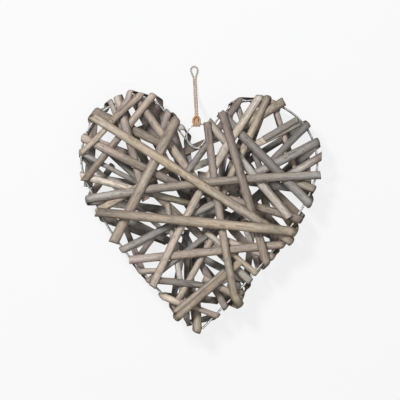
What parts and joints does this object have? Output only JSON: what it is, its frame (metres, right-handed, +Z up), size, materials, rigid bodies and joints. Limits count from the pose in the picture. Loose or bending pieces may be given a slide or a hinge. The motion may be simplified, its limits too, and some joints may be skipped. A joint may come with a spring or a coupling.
{
  "type": "wicker heart",
  "caption": "Flat hanging heart of split willow strips wound over two wire hearts, with a wire ring and a looped jute string, lying on its back.",
  "frame": {"origin": "middle of the heart's bounding box in plan, on the surface it lies on", "axes": "+X to the right of the heart, +Y from its point to its two lobes, +Z up out of its front, as it lies on its back"},
  "size_m": [0.246, 0.27, 0.0501],
  "materials": {
    "split_willow": "dry, weathered, unpainted",
    "steel_wire": "dull galvanised",
    "jute": "twisted two-ply string"
  },
  "bodies": {
    "root": {"front_wire": "steel_wire", "back_wire": "steel_wire", "hanging_ring": "steel_wire", "brace_wire": "steel_wire", "strip_01": "split_willow", "strip_02": "split_willow", "strip_03": "split_willow", "strip_04": "split_willow", "strip_05": "split_willow", "strip_06": "split_willow", "strip_07": "split_willow", "strip_08": "split_willow", "strip_09": "split_willow", "strip_10": "split_willow", "strip_11": "split_willow", "strip_12": "split_willow", "strip_13": "split_willow", "strip_14": "split_willow", "strip_15": "split_willow", "strip_16": "split_willow", "strip_17": "split_willow", "strip_18": "split_willow", "strip_19": "split_willow", "strip_20": "split_willow", "strip_21": "split_willow", "strip_22": "split_willow", "strip_23": "split_willow", "strip_24": "split_willow", "strip_25": "split_willow", "strip_26": "split_willow", "strip_27": "split_willow", "strip_28": "split_willow", "strip_29": "split_willow", "strip_30": "split_willow", "strip_31": "split_willow", "strip_32": "split_willow", "strip_33": "split_willow", "strip_34": "split_willow", "strip_35": "split_willow", "strip_36": "split_willow", "strip_37": "split_willow", "strip_38": "split_willow", "strip_39": "split_willow", "strip_40": "split_willow", "strip_41": "split_willow", "strip_42": "split_willow", "strip_43": "split_willow", "strip_44": "split_willow", "strip_45": "split_willow", "strip_46": "split_willow", "strip_47": "split_willow", "strip_48": "split_willow", "strip_49": "split_willow", "strip_50": "split_willow", "strip_51": "split_willow", "strip_52": "split_willow", "strip_53": "split_willow", "strip_54": "split_willow", "string": "jute", "string_knot": "jute"}
  },
  "joints": []
}
